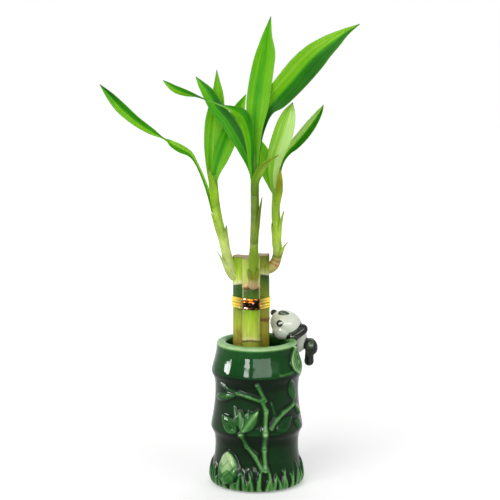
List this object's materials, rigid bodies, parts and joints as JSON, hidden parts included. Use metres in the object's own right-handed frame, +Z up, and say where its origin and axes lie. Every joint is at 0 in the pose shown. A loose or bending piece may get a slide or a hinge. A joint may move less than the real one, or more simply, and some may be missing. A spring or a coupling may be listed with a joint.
{
  "type": "lucky bamboo in a vase",
  "caption": "Tied lucky bamboo stalks with leafy shoots standing in a glazed vase shaped like a bamboo trunk, with a panda climbing over its rim.",
  "frame": {"origin": "centre of the vase's flat foot, on the surface it stands on", "axes": "+Z up along the vase's axis; -Y is the front, with the stem and leaf relief; +X is the side the panda climbs on"},
  "size_m": [0.1738, 0.0804, 0.3276],
  "materials": {
    "green_glaze": "dark green glaze, pale on raised edges",
    "panda_glaze": "white glaze with black painted ears, eye and limbs",
    "gold_wire": "bright gold-coloured wire",
    "stalk_skin": "waxy green to yellow-green cane",
    "shoot_skin": "smooth fresh stem",
    "sheath_skin": "pale papery leaf sheath",
    "leaf_blade": "satin leaf with fine parallel veins"
  },
  "bodies": {
    "root": {"vase": "green_glaze", "panda": "panda_glaze", "tie_wire": "gold_wire", "stalk_left": "stalk_skin", "stalk_front": "stalk_skin", "stalk_right": "stalk_skin", "shoot_left": "shoot_skin", "shoot_front": "shoot_skin", "shoot_right": "shoot_skin", "sheath_front_foot_left": "sheath_skin", "sheath_front_foot_right": "sheath_skin", "sheath_front_lower": "sheath_skin", "sheath_front_upper": "sheath_skin", "sheath_left_foot": "sheath_skin", "sheath_left_middle": "sheath_skin", "sheath_left_upper": "sheath_skin", "sheath_right_foot": "sheath_skin", "sheath_right_middle": "sheath_skin", "sheath_right_upper": "sheath_skin", "bract_front": "sheath_skin", "bract_left": "sheath_skin", "bract_right": "sheath_skin", "leaf_front_left": "leaf_blade", "leaf_front_right": "leaf_blade", "leaf_front_twisted": "leaf_blade", "leaf_front_upright": "leaf_blade", "leaf_left_leaning": "leaf_blade", "leaf_left_long": "leaf_blade", "leaf_left_tall": "leaf_blade", "leaf_right_back": "leaf_blade", "leaf_right_folded": "leaf_blade", "leaf_right_pale": "leaf_blade"}
  },
  "joints": []
}
